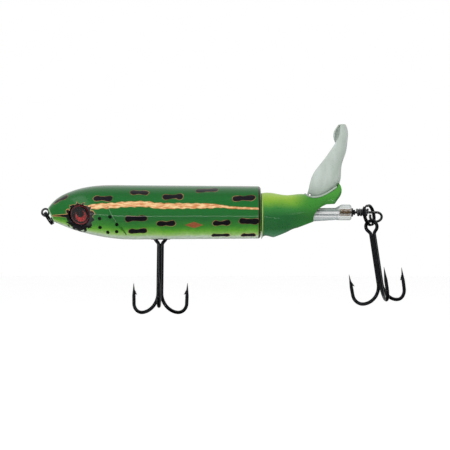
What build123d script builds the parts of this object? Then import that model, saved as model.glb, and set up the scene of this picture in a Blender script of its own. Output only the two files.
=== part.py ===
"""Topwater lure with a spinning paddle tail and two treble hooks.

Millimetres.  The origin is the centre of the line-tie eye, on the tail's spin axis.
+X runs back along the spin axis to the tail, +Z is up, and -Y is the fish's left side.
"""
from build123d import *
import math
import os

# ---------------------------------------------------------------- driving dimensions
WALL = 1.7                  # moulded shell wall
FIT = 0.05                  # radial gap of a running or pushed fit

# hull: a blunt head that swells to the full radius, then a body with a slight taper
BODY_RADIUS = 11.6
HEAD_START = 0.5
HEAD_END = 38.0
HEAD_TIP = -0.6                     # where the head's curve would close
HEAD_FULLNESS = 2.5
HEAD_BLUNTNESS = 0.7
HEAD_SECTIONS = 14
BROW_X = 13.0                       # where the head's centre line is highest
BROW_RISE = 1.0
NOSE_DROP = 2.0                     # how far the nose hangs below the brow's centre line
TAPER_END = 90.7
TAPER_RADIUS = 11.2
HULL_REAR_ROUNDING = 1.3
HULL_REAR = TAPER_END + HULL_REAR_ROUNDING
NOSE_FACE_TOP = (1.1, 1.9)          # x, z where the slanted nose face starts
NOSE_FACE_LEAN = 24.8               # degrees from vertical

BULKHEADS = [22.0, 41.0, 57.0, 74.0]
BULKHEAD_THICKNESS = 3.0
REAR_WALL_THICKNESS = 4.0
NOSE_BLOCK_END = 13.0
CAVITY_FRONT = 8.8

PEG_RADIUS = 0.8
PEG_LENGTH = 2.5
PEG_END_GAP = 0.3
PEG_PLACES = [(9.0, 5.0), (22.0, 8.0), (41.0, 8.6), (57.0, 8.6), (74.0, 8.6), (90.0, 7.6),
              (11.0, -4.8), (57.0, -9.8), (90.0, -7.4)]

# eyes
EYE_X = 15.2
EYE_Z = -1.4
EYE_RADIUS = 4.6
EYE_DEPTH = 1.9
EYE_DISC_THICKNESS = 0.6
EYE_DOME = 1.5
EYE_LENS_EDGE = 0.5

# gill cover: a moulded crease and a row of pits on each side
GILL_CREASE = [(27.4, 2.4), (29.3, -1.5), (31.0, -4.2), (34.9, -9.4)]
GILL_CREASE_WIDTH = 0.5
GILL_PITS = [(24.0, -2.7), (28.4, -2.0), (31.2, -5.2), (24.0, -6.4), (27.2, -8.5), (31.0, -8.2)]
GILL_PIT_RADIUS = 0.75
RELIEF_DEPTH = 0.3

# line tie
TIE_WIRE = 0.45
TIE_EYE_RADIUS = 1.5
TIE_SHANK_END = 11.0
TIE_ANCHOR_RISE = 3.0
TIE_BEND = 1.2

# split rings: two turns of wire
LINE_RING_RADIUS = 2.85
LINE_RING_WIRE = 0.35
LINE_RING_HANG = 60.0               # degrees below the forward-to-back line
TAIL_RING_RADIUS = 4.3
TAIL_RING_WIRE = 0.375
RING_TURNS = 2
RING_TURN_GAP = 0.04
LOOP_SEAT = (140.48, -2.39)         # x, z where the rear ring sits in the upright loop
RING_AT_LOOP = 16.8                 # degrees round the rear ring from its far side
RING_AT_HOOK = 93.7
RING_SPLIT_AT = 245.0

# belly hook pocket
POCKET_X = 49.2
POCKET_PIVOT_Z = -10.0
POCKET_HALF_LENGTH = 3.8
POCKET_HALF_WIDTH = 2.1
POCKET_ROOF_Z = -6.8
POCKET_WALL = 1.6
PIN_RADIUS = 0.6
PIN_COVER = 0.4                     # wall left over the pin's ends
BEZEL_LIP = 0.4
BEZEL_THICKNESS = 0.9
BEZEL_BOTTOM_Z = -11.65

# ballast, rattle
SLUG_RADIUS = 4.0
SLUG_Z = -5.0
SLUG_SEAT = 0.6
REAR_SLUG_END = 86.0
RATTLE_RADIUS = 3.0
RATTLE_BORE = 3.25
RATTLE_Z = -4.6
RATTLE_TRAVEL = 6.0
RATTLE_END_GAP = 0.1

# tail shaft
SHAFT_RADIUS = 0.55
SHAFT_ANCHOR_X = 74.0
SHAFT_ANCHOR_DROP = 4.0
SHAFT_BEND = 1.5
HULL_BUSH_RADIUS = 1.6
LOOP_HALF_HEIGHT = 2.3
LOOP_CENTRE_X = 141.55
LOOP_LEAN = 32.1                    # the loop's lower side leans away to +Y
LOOP_END = (138.95, -1.25)
LOOP_START_X = 138.0
WRAP_START = 133.2
WRAP_PITCH = 1.13
WRAP_TURNS = 4.0
WRAP_CLEARANCE = 0.03
STOP_BEAD = (131.55, 132.4, 1.15)   # start, end, radius
STOP_BEAD_EDGE = 0.35
STOP_WASHER = (130.75, 131.45, 1.85)
STOP_WASHER_EDGE = 0.25

# tail
TAIL_FRONT = 92.3
THRUST_WASHER_RADIUS = 8.2
TAIL_SECTIONS = [                   # x, centre height, half width, half height
    (92.3, -1.6, 10.2, 10.2),
    (97.0, -1.0, 9.4, 9.6),
    (103.5, -0.2, 7.9, 8.1),
    (109.5, 0.9, 6.7, 7.2),
    (114.4, 1.7, 5.2, 6.3),
    (118.0, 4.0, 3.4, 4.6),
    (122.0, 6.9, 2.4, 5.4),
    (127.0, 9.0, 1.9, 6.6),
]
HORN_TOP = [(110.7, 7.75), (113.0, 6.25), (117.0, 6.35), (121.5, 8.4), (124.4, 10.4),
            (125.3, 12.5)]
HORN_UNDERSIDE = [(120.0, 3.4), (117.8, 2.3), (115.8, 0.75), (114.4, -2.0), (114.4, -4.0)]
SLEEVE_SECTIONS = [(106.0, -1.0, 2.85), (114.0, -1.0, 2.85), (124.0, -0.65, 2.6)]
SLEEVE_BELL = (126.4, 130.1, 130.65)    # start, end of the round part, rear end
SLEEVE_BELL_RADIUS = 3.35
SLEEVE_BELL_END_RADIUS = 2.9
TAIL_BUSH_RADIUS = 1.5
FRONT_BUSH_LENGTH = 5.0
REAR_BUSH = (125.6, 130.4)
TAIL_BORE_RADIUS = 1.0

# paddle blade: one cupped sheet.  Each row is height, centre x, half length along X,
# half depth along Y, and the angle where its far edge ends (0 is the rearmost point)
BLADE_ROWS = [
    (5.6, 113.6, 5.0, 1.6, 20.0),
    (9.0, 113.2, 9.6, 2.6, 18.0),
    (12.0, 114.0, 11.1, 3.2, 12.0),
    (18.8, 116.9, 9.2, 3.6, 20.0),
    (24.5, 121.1, 6.6, 3.6, 45.0),
    (29.3, 124.1, 4.6, 3.3, 85.0),
    (33.1, 125.9, 3.15, 2.9, 138.0),
    (35.8, 126.2, 2.6, 2.4, 135.0),
    (37.7, 126.4, 1.5, 1.5, 120.0),
]
BLADE_NEAR_ANGLE = -96.0
BLADE_THICKNESS = 1.0
BLADE_TIP_THICKNESS = 0.7
BLADE_SHIFT_Y = 1.2
FLANGE_RISE = 0.75
FLANGE_GAP = 0.15
BLADE_HOLE = (112.9, 7.45, 0.45)        # x, z, radius
BLADE_STEPS = 8

# treble hooks, in a frame with its origin on the hinge and the shank along -Z
HOOK_WIRE = 0.75
SHANK_GAP = 0.02                    # between each two of the three shanks
HOOK_EYE_RADIUS = 2.4
HOOK_EYE_DROP = 0.6
HOOK_EYE_TAPER = 40.0
HOOK_NECK_RADIUS = 1.6
HOOK_BEND_INNER = 7.5
HOOK_BEND_OUTER = 4.6
HOOK_BEND_END = 88.0
HOOK_BOTTOM = 32.65
HOOK_SPEAR = 3.4
HOOK_POINT = 5.6
HOOK_POINT_TIP = 0.06
BARB_FOOT = 4.9
BARB_RISE = 0.75
BARB_THICKNESS = 0.55

BELLY_TREBLE_TILT = -16.0           # about X, bends lean to the fish's left
REAR_TREBLE_TURN = 5.5              # about Z
REAR_TREBLE_TILT = -6.0             # about X
REAR_TREBLE_TRAIL = -8.0            # about Y

# ---------------------------------------------------------------- worked-out places
def head_radius(x):
    """Radius of the head's round section."""
    closing = 1 - (x - HEAD_TIP) / (HEAD_END - HEAD_TIP)
    return BODY_RADIUS * (1 - closing ** HEAD_FULLNESS) ** HEAD_BLUNTNESS


def head_centre(x):
    """Height of the centre of the head's round section."""
    if x < BROW_X:
        return BROW_RISE - NOSE_DROP * ((BROW_X - x) / (BROW_X - HEAD_START)) ** 4
    return BROW_RISE * (1 + math.cos(math.pi * (x - BROW_X) / (HEAD_END - BROW_X))) / 2


HEAD_STATIONS = []
for number in range(HEAD_SECTIONS):
    station = HEAD_START + (HEAD_END - HEAD_START) * number / (HEAD_SECTIONS - 1)
    HEAD_STATIONS.append((station, head_centre(station), head_radius(station)))
BODY_STATIONS = [(HEAD_END, 0.0, BODY_RADIUS), (TAPER_END, 0.0, TAPER_RADIUS)]

SHANK_SPREAD = HOOK_WIRE + SHANK_GAP / 2            # half the space between the eye's two shanks
SHANK_OFFSET = SHANK_SPREAD * 2 / math.sqrt(3)      # those shanks from the treble's axis
AXIS_SETBACK = SHANK_OFFSET / 2                     # treble's axis behind its eye's plane
LOOP_TILT = Rotation(LOOP_LEAN, 0, 0)
BELLY_PIVOT = Vector(POCKET_X, 0, POCKET_PIVOT_Z)
PIN_REACH = POCKET_HALF_WIDTH + POCKET_WALL - PIN_COVER
SLUG_SPANS = [
    (BULKHEADS[0] + BULKHEAD_THICKNESS / 2 - SLUG_SEAT,
     BULKHEADS[1] - BULKHEAD_THICKNESS / 2 + SLUG_SEAT),
    (BULKHEADS[3] + BULKHEAD_THICKNESS / 2 - SLUG_SEAT, REAR_SLUG_END),
]
RATTLE_START = BULKHEADS[2] + BULKHEAD_THICKNESS / 2
RATTLE_END = RATTLE_START + 2 * RATTLE_RADIUS + RATTLE_TRAVEL
SHAFT_RUN_START = HULL_REAR - REAR_WALL_THICKNESS + 1


def unit(x, y, z):
    """A direction of length one."""
    return Vector(x, y, z).normalized()


# rear split ring: its normal, its far side and its low side, and where it sits in the loop
RING_NORMAL = unit(0.8487, -0.4949, 0.1869)
RING_FAR = (Vector(0, 1, 0) - RING_NORMAL * RING_NORMAL.Y).normalized()
RING_LOW = RING_NORMAL.cross(RING_FAR) * -1
LOOP_HOLE = (LOOP_TILT * Pos(LOOP_SEAT[0], 0, LOOP_SEAT[1])).position


def ring_point(angle):
    """Direction from the rear ring's centre to its wire at an angle from its far side."""
    turn = math.radians(angle)
    return RING_FAR * math.cos(turn) + RING_LOW * math.sin(turn)


RING_CENTRE = LOOP_HOLE - ring_point(RING_AT_LOOP) * TAIL_RING_RADIUS
REAR_PIVOT = RING_CENTRE + ring_point(RING_AT_HOOK) * TAIL_RING_RADIUS


# ---------------------------------------------------------------- shared shapes
def fused(first, *others):
    """One shape from several that touch."""
    result = first
    for other in others:
        result = result + other
    return result


def rod(start, end, radius):
    """A round bar between two points."""
    start = Vector(*start)
    way = Vector(*end) - start
    return Plane(origin=start, z_dir=way) * Cylinder(
        radius, way.length, align=(Align.CENTER, Align.CENTER, Align.MIN))


def tube_along(path, radius):
    """A round wire along a path of lines and tangent arcs."""
    return sweep(Plane(origin=path @ 0, z_dir=path % 0) * Circle(radius), path=path)


def slab(x_start, x_end):
    """A thick slice of space across the X axis."""
    return Pos((x_start + x_end) / 2, 0, 0) * Box(x_end - x_start, 60, 60)


def round_loft(stations, inset=0.0):
    """A loft through round sections, each as x, centre height and radius."""
    rings = [
        Plane(origin=(x, 0, height), z_dir=(1, 0, 0)) * Circle(radius - inset)
        for x, height, radius in stations
    ]
    return loft(rings)


def side_outline(*edges):
    """A face in the XZ plane from 2-D edges; its normal looks along -Y."""
    return Plane.XZ * make_face(Wire(edges))


def split_ring(centre, normal, start, radius, wire):
    """Two close turns of wire round a centre."""
    pitch = 2 * wire + RING_TURN_GAP
    height = RING_TURNS * pitch
    frame = Plane(origin=centre, x_dir=start, z_dir=normal)
    path = frame * Pos(0, 0, -height / 2) * Helix(pitch, height, radius)
    return tube_along(path, wire)


# ---------------------------------------------------------------- hull
def hull_outside():
    """The hull's full outer form, with its slanted nose face and rounded rear edge."""
    rear_cap = rod((TAPER_END, 0, 0), (HULL_REAR, 0, 0), TAPER_RADIUS)
    rear_cap = fillet(rear_cap.edges().group_by(Axis.X)[-1], HULL_REAR_ROUNDING - FIT)
    body = fused(round_loft(HEAD_STATIONS), round_loft(BODY_STATIONS), rear_cap)
    nose_x, nose_z = NOSE_FACE_TOP
    cutter = Pos(nose_x, 0, nose_z) * Rotation(0, -NOSE_FACE_LEAN, 0) * Box(
        20, 40, 40, align=(Align.MAX, Align.CENTER, Align.CENTER))
    return body - cutter


def eye_plane(side):
    """Where an eye sits on the skin; side is -1 for left and +1 for right."""
    radius = head_radius(EYE_X)
    below = EYE_Z - head_centre(EYE_X)
    reach = math.sqrt(radius ** 2 - below ** 2)
    slope = head_radius(EYE_X + 0.5) - head_radius(EYE_X - 0.5)
    outward = Vector(-slope * radius, side * reach, below)
    return Plane(origin=(EYE_X, side * reach, EYE_Z), x_dir=(0, 0, 1), z_dir=outward)


def eye_seat(side):
    """The round recess that an eye drops into."""
    return eye_plane(side) * Pos(0, 0, -EYE_DEPTH) * Cylinder(
        EYE_RADIUS + FIT, 12, align=(Align.CENTER, Align.CENTER, Align.MIN))


def eye_boss(side):
    """Thicker wall behind an eye's recess."""
    return eye_plane(side) * Pos(0, 0, -EYE_DEPTH - WALL) * Cylinder(
        EYE_RADIUS + WALL, 12, align=(Align.CENTER, Align.CENTER, Align.MIN))


def gill_relief():
    """Cutters for the crease and pits of both gill covers, as deep as the relief."""
    core = round_loft([s for s in HEAD_STATIONS if s[0] > BROW_X], inset=RELIEF_DEPTH)
    band = Plane.XZ * trace(Spline(*GILL_CREASE), GILL_CREASE_WIDTH)
    cutters = [extrude(band, 20, both=True)]
    for x, z in GILL_PITS:
        cutters.append(rod((x, -20, z), (x, 20, z), GILL_PIT_RADIUS))
    return [solid for cutter in cutters for solid in (cutter - core).solids()]


def pocket_block():
    """The walls round the belly hook's pocket."""
    length = 2 * (POCKET_HALF_LENGTH + POCKET_WALL)
    width = 2 * (POCKET_HALF_WIDTH + POCKET_WALL)
    roof = POCKET_ROOF_Z + POCKET_WALL
    return Pos(POCKET_X, 0, roof) * Box(
        length, width, 20, align=(Align.CENTER, Align.CENTER, Align.MAX))


def pocket_space():
    """The open inside of the belly hook's pocket."""
    outline = SlotOverall(2 * POCKET_HALF_LENGTH, 2 * POCKET_HALF_WIDTH)
    return Pos(POCKET_X, 0, POCKET_ROOF_Z) * extrude(outline, -20)


def hull_cavity():
    """The hollow cells between the bulkheads, bosses and blocks."""
    inside = fused(round_loft([s for s in HEAD_STATIONS if s[0] > CAVITY_FRONT], inset=WALL),
                   round_loft(BODY_STATIONS, inset=WALL))
    half = BULKHEAD_THICKNESS / 2
    solid_places = [slab(0, NOSE_BLOCK_END), slab(HULL_REAR - REAR_WALL_THICKNESS, 100)]
    solid_places += [slab(x - half, x + half) for x in BULKHEADS]
    solid_places += [eye_boss(-1), eye_boss(1), pocket_block()]
    solid_places.append(rod((BULKHEADS[2], 0, RATTLE_Z), (BULKHEADS[3], 0, RATTLE_Z),
                            RATTLE_BORE + 1.0))
    solid_places.append(rod((SHAFT_ANCHOR_X, 0, 0), (HULL_REAR - 1, 0, 0),
                            HULL_BUSH_RADIUS + 1.0))
    return (inside - solid_places).solids()


def hull_bores():
    """Every seat, bore and groove that is cut in the two halves."""
    bores = [eye_seat(-1), eye_seat(1), pocket_space(), bezel_outline(FIT), hook_pin(),
             line_tie(FIT), shaft_anchor(FIT)]
    bores += [ballast_slug(span, FIT) for span in SLUG_SPANS]
    bores.append(rod((RATTLE_START - RATTLE_END_GAP, 0, RATTLE_Z),
                     (RATTLE_END + RATTLE_END_GAP, 0, RATTLE_Z), RATTLE_BORE))
    bores.append(rod((HULL_REAR - REAR_WALL_THICKNESS, 0, 0), (HULL_REAR + 1, 0, 0),
                     HULL_BUSH_RADIUS))
    return bores


def hull_shells():
    """Both moulded halves, with the pegs on the left and their sockets in the right."""
    shell = hull_outside() - hull_cavity() - gill_relief() - hull_bores()
    left = shell & Pos(50, -20, 0) * Box(120, 40, 60)
    right = shell & Pos(50, 20, 0) * Box(120, 40, 60)
    left += [rod((x, -1, z), (x, PEG_LENGTH, z), PEG_RADIUS) for x, z in PEG_PLACES]
    right -= [rod((x, 0, z), (x, PEG_LENGTH + PEG_END_GAP, z), PEG_RADIUS + FIT)
              for x, z in PEG_PLACES]
    return left, right


def line_tie(gap=0.0):
    """The wire eye at the nose and its cranked shank in the nose block."""
    eye = Rotation(90, 0, 0) * Torus(TIE_EYE_RADIUS, TIE_WIRE + gap)
    path = Plane.XZ * FilletPolyline(
        (TIE_EYE_RADIUS, 0), (TIE_SHANK_END, 0), (TIE_SHANK_END, TIE_ANCHOR_RISE),
        radius=TIE_BEND)
    return eye + tube_along(path, TIE_WIRE + gap)


def eye_disc(side):
    """The flat painted iris disc."""
    return eye_plane(side) * Pos(0, 0, -EYE_DEPTH) * Cylinder(
        EYE_RADIUS, EYE_DISC_THICKNESS, align=(Align.CENTER, Align.CENTER, Align.MIN))


def eye_lens(side):
    """The clear dome over the iris: a short round edge and a spherical cap."""
    base = -EYE_DEPTH + EYE_DISC_THICKNESS
    ball = (EYE_RADIUS ** 2 + EYE_DOME ** 2) / (2 * EYE_DOME)
    height = EYE_LENS_EDGE + EYE_DOME
    barrel = Cylinder(EYE_RADIUS, height, align=(Align.CENTER, Align.CENTER, Align.MIN))
    cap = Pos(0, 0, height - ball) * Sphere(ball)
    return eye_plane(side) * Pos(0, 0, base) * (barrel & cap)


def bezel_outline(gap=0.0):
    """The oval plate space at the pocket's mouth."""
    outline = SlotOverall(2 * (POCKET_HALF_LENGTH + BEZEL_LIP + gap),
                          2 * (POCKET_HALF_WIDTH + BEZEL_LIP + gap))
    return Pos(POCKET_X, 0, BEZEL_BOTTOM_Z) * extrude(outline, BEZEL_THICKNESS + gap)


def pocket_bezel():
    """The thin oval rim at the mouth of the hook's pocket."""
    return bezel_outline() - pocket_space()


def hook_pin():
    """The cross pin that carries the belly hook."""
    return rod((POCKET_X, -PIN_REACH, POCKET_PIVOT_Z), (POCKET_X, PIN_REACH, POCKET_PIVOT_Z),
               PIN_RADIUS)


def ballast_slug(span, gap=0.0):
    """A round steel weight between two bulkheads."""
    return rod((span[0], 0, SLUG_Z), (span[1], 0, SLUG_Z), SLUG_RADIUS + gap)


def rattle_ball():
    """The loose steel ball, at the front end of its chamber."""
    return Pos(RATTLE_START + RATTLE_RADIUS, 0, RATTLE_Z) * Sphere(RATTLE_RADIUS)


# ---------------------------------------------------------------- tail shaft and its stops
def shaft_anchor(gap=0.0):
    """The cranked front end of the shaft and the straight run to the rear wall."""
    path = Plane.XZ * FilletPolyline(
        (SHAFT_ANCHOR_X, -SHAFT_ANCHOR_DROP), (SHAFT_ANCHOR_X, 0),
        (SHAFT_RUN_START, 0), radius=SHAFT_BEND)
    return tube_along(path, SHAFT_RADIUS + gap)


def end_loop():
    """The open loop behind the wraps, leaned about the shaft's axis."""
    end_x, end_z = LOOP_END
    drop = 2 * LOOP_HALF_HEIGHT
    top = Line((LOOP_START_X, 0), (LOOP_CENTRE_X, 0))
    bow = CenterArc((LOOP_CENTRE_X, -LOOP_HALF_HEIGHT), LOOP_HALF_HEIGHT, 90, -180)
    back = TangentArc((LOOP_CENTRE_X, -drop), (end_x, end_z), tangent=(-1, 0))
    path = LOOP_TILT * (Plane.XZ * Wire([top, bow, back]))
    return tube_along(path, SHAFT_RADIUS)


def tail_shaft():
    """The whole stainless shaft wire, from its anchor to the end of its rear loop."""
    run = rod((SHAFT_RUN_START, 0, 0), (LOOP_START_X, 0, 0), SHAFT_RADIUS)
    return fused(shaft_anchor(), run, end_loop())


def shaft_wraps():
    """The wire's tail, wound back over the shaft."""
    radius = 2 * SHAFT_RADIUS + WRAP_CLEARANCE
    path = Plane(origin=(WRAP_START, 0, 0), z_dir=(1, 0, 0)) * Helix(
        WRAP_PITCH, WRAP_PITCH * WRAP_TURNS, radius)
    return tube_along(path, SHAFT_RADIUS)


def shaft_collar(start, end, radius, edge=0.0):
    """A ring on the shaft, with its outer edges rounded."""
    body = rod((start, 0, 0), (end, 0, 0), radius)
    if edge:
        body = fillet(body.edges().filter_by(GeomType.CIRCLE), edge)
    return body - rod((start - 1, 0, 0), (end + 1, 0, 0), SHAFT_RADIUS + FIT)


# ---------------------------------------------------------------- tail
def tail_side():
    """The side outline of the painted cone and its horn."""
    top_front = (TAIL_FRONT, 8.1)
    bottom_front = (TAIL_FRONT, -11.5)
    heel = HORN_UNDERSIDE[-1]
    tip = HORN_TOP[-1]
    return side_outline(
        Line(bottom_front, top_front),
        Spline(top_front, (96.0, 8.35), (103.3, 7.3), (108.0, 7.8), HORN_TOP[0]),
        Spline(*HORN_TOP),
        ThreePointArc(tip, (126.45, 9.2), (125.6, 6.6)),
        Line((125.6, 6.6), (123.5, 3.6)),
        Line((123.5, 3.6), HORN_UNDERSIDE[0]),
        Spline(*HORN_UNDERSIDE),
        Spline(heel, (109.2, -6.0), (104.3, -7.95), (97.0, -10.8), (94.0, -11.75)),
        Line((94.0, -11.75), bottom_front),
    )


def tail_round():
    """The round form that gives the cone and the horn their width."""
    rings = [
        Plane(origin=(x, 0, height), x_dir=(0, 1, 0), z_dir=(1, 0, 0)) * Ellipse(half_w, half_h)
        for x, height, half_w, half_h in TAIL_SECTIONS
    ]
    return loft(rings)


def tail_cone():
    """The painted tail body with its horn, bored for the sleeve and the front bush."""
    body = extrude(tail_side(), 12, both=True) & tail_round()
    body -= sleeve_outside()
    body -= blade_sheet(2 * FIT)
    body -= rod((TAIL_FRONT - 1, 0, 0), (TAIL_FRONT + FRONT_BUSH_LENGTH, 0, 0),
                TAIL_BUSH_RADIUS)
    body -= rod((TAIL_FRONT, 0, 0), (SLEEVE_SECTIONS[0][0] + 1, 0, 0), TAIL_BORE_RADIUS)
    return body


def bell_loft():
    """The belled rear end of the sleeve, on the spin axis."""
    start, full, end = SLEEVE_BELL
    neck = SLEEVE_SECTIONS[-1]
    flare = round_loft([neck, (start, 0, SLEEVE_BELL_RADIUS)])
    barrel = round_loft([(start, 0, SLEEVE_BELL_RADIUS), (full, 0, SLEEVE_BELL_RADIUS)])
    lip = round_loft([(full, 0, SLEEVE_BELL_RADIUS), (end, 0, SLEEVE_BELL_END_RADIUS)])
    return fused(flare, barrel, lip)


def sleeve_outside():
    """The clear sleeve's full outer form."""
    front = round_loft(SLEEVE_SECTIONS[:2])
    middle = round_loft(SLEEVE_SECTIONS[1:])
    return fused(front, middle, bell_loft())


def tail_sleeve():
    """The clear sleeve, bored for the shaft, with its brass bush's seat."""
    body = sleeve_outside()
    start = SLEEVE_SECTIONS[0][0]
    body -= rod((start - 1, 0, 0), (SLEEVE_BELL[-1] + 1, 0, 0), TAIL_BORE_RADIUS)
    return body - rod((REAR_BUSH[0], 0, 0), (SLEEVE_BELL[-1] + 1, 0, 0), TAIL_BUSH_RADIUS)


def bush(start, end, radius):
    """A brass bush on the shaft."""
    return rod((start, 0, 0), (end, 0, 0), radius) - rod(
        (start - 1, 0, 0), (end + 1, 0, 0), SHAFT_RADIUS + FIT)


def blade_section(row, thickness):
    """One level cut through the cupped blade: two curves a thickness apart."""
    height, centre_x, half_x, half_y, far_angle = row
    angles = [BLADE_NEAR_ANGLE + (far_angle - BLADE_NEAR_ANGLE) * step / BLADE_STEPS
              for step in range(BLADE_STEPS + 1)]
    sides = []
    for offset in (thickness / 2, -thickness / 2):
        sides.append([
            (centre_x + (half_x + offset) * math.cos(math.radians(a)),
             BLADE_SHIFT_Y + (half_y + offset) * math.sin(math.radians(a)))
            for a in angles
        ])
    outer, inner = sides
    edges = [Spline(*outer), Line(outer[-1], inner[-1]), Spline(*inner[::-1]),
             Line(inner[0], outer[0])]
    return Pos(0, 0, height) * make_face(Wire(edges))


def blade_flange():
    """The lip at the blade's root, which follows the top of the horn."""
    top = [(x, z + FLANGE_GAP + FLANGE_RISE) for x, z in HORN_TOP[:-1]]
    low = [(x, z + FLANGE_GAP) for x, z in HORN_TOP[:-1]]
    strip = side_outline(Spline(*low), Line(low[-1], top[-1]), Spline(*top[::-1]),
                         Line(top[0], low[0]))
    return extrude(strip, 12, both=True) & tail_round()


def blade_sheet(growth=0.0):
    """The cupped sheet alone, thinner towards its tip."""
    last = len(BLADE_ROWS) - 1
    rows = []
    for number, row in enumerate(BLADE_ROWS):
        taper = (BLADE_TIP_THICKNESS - BLADE_THICKNESS) * number / last
        rows.append(blade_section(row, BLADE_THICKNESS + taper + growth))
    return loft(rows)


def tail_blade():
    """The translucent cupped paddle with its root flange and small hole."""
    x, z, radius = BLADE_HOLE
    return blade_sheet() + blade_flange() - rod((x, -12, z), (x, 12, z), radius)


# ---------------------------------------------------------------- treble hooks
def hook_plane(azimuth):
    """The plane of one hook: local x points outward from the treble's axis, local y up."""
    turn = math.radians(azimuth)
    outward = Vector(math.cos(turn), -math.sin(turn), 0)
    return Plane(origin=(0, -AXIS_SETBACK, 0), x_dir=outward, z_dir=outward.cross(Vector(0, 0, 1)))


def neck_height():
    """Where the eye's two legs have come together, below the hinge."""
    taper = math.radians(HOOK_EYE_TAPER)
    leave_x = HOOK_EYE_RADIUS * math.cos(taper)
    leave_z = -HOOK_EYE_DROP - HOOK_EYE_RADIUS * math.sin(taper)
    meet_x = SHANK_SPREAD + HOOK_NECK_RADIUS * (1 - math.cos(taper))
    meet_z = leave_z - (leave_x - meet_x) / math.tan(taper)
    return meet_x, meet_z, meet_z - HOOK_NECK_RADIUS * math.sin(taper)


def hook_point(start, direction):
    """The tapered point and the barb on its inner side."""
    along = direction.normalized()
    cone = Plane(origin=start, z_dir=(along.X, along.Y, 0)) * Cone(
        HOOK_WIRE, HOOK_POINT_TIP, HOOK_POINT, align=(Align.CENTER, Align.CENTER, Align.MIN))
    inner = -HOOK_WIRE
    foot = start + along * (HOOK_POINT - BARB_FOOT)
    wedge = Polyline(
        (foot.X + inner * 0.6, foot.Y + 1.7), (foot.X + inner - BARB_RISE, foot.Y - 0.5),
        (foot.X + inner * 0.9, foot.Y - 0.1), (foot.X, foot.Y + 0.4), close=True)
    return cone + extrude(make_face(wedge), BARB_THICKNESS / 2, both=True)


def hook_line(azimuth):
    """The centre line of one hook from the neck to where its point starts."""
    bend_z = -HOOK_BOTTOM + HOOK_BEND_INNER
    bottom_r = SHANK_OFFSET + HOOK_BEND_INNER
    outer_z = -HOOK_BOTTOM + HOOK_BEND_OUTER
    shank = Line((SHANK_OFFSET, neck_height()[2]), (SHANK_OFFSET, bend_z))
    inner_bend = CenterArc((bottom_r, bend_z), HOOK_BEND_INNER, 180, 90)
    outer_bend = CenterArc((bottom_r, outer_z), HOOK_BEND_OUTER, 270, HOOK_BEND_END)
    leave = outer_bend @ 1
    way = outer_bend % 1
    spear = Line(leave, leave + way * HOOK_SPEAR)
    plane = hook_plane(azimuth)
    line = [plane * edge for edge in (shank, inner_bend, outer_bend, spear)]
    return line, plane * hook_point(spear @ 1, way)


def eye_line():
    """The centre line of the eye: a round top and legs that close to a V and then a neck."""
    meet_x, meet_z, neck_z = neck_height()
    taper = HOOK_EYE_TAPER
    top = CenterArc((0, -HOOK_EYE_DROP), HOOK_EYE_RADIUS, 180 + taper, -(180 + 2 * taper))
    neck_centre_x = SHANK_SPREAD + HOOK_NECK_RADIUS
    left_neck = CenterArc((-neck_centre_x, neck_z), HOOK_NECK_RADIUS, 0, taper)
    right_neck = CenterArc((neck_centre_x, neck_z), HOOK_NECK_RADIUS, 180 - taper, taper)
    left_leg = Line((-meet_x, meet_z), top @ 0)
    right_leg = Line(top @ 1, (meet_x, meet_z))
    return [Plane.XZ * edge for edge in (left_neck, left_leg, top, right_leg, right_neck)]


def double_hook():
    """Two hooks bent from one wire, with the eye between them."""
    left_line, left_point = hook_line(210)
    right_line, right_point = hook_line(-30)
    path = Wire(left_line[::-1] + eye_line() + right_line)
    return fused(tube_along(path, HOOK_WIRE), left_point, right_point)


def third_hook():
    """The hook that is brazed on between the other two."""
    line, point = hook_line(90)
    return tube_along(Wire(line), HOOK_WIRE) + point


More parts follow.
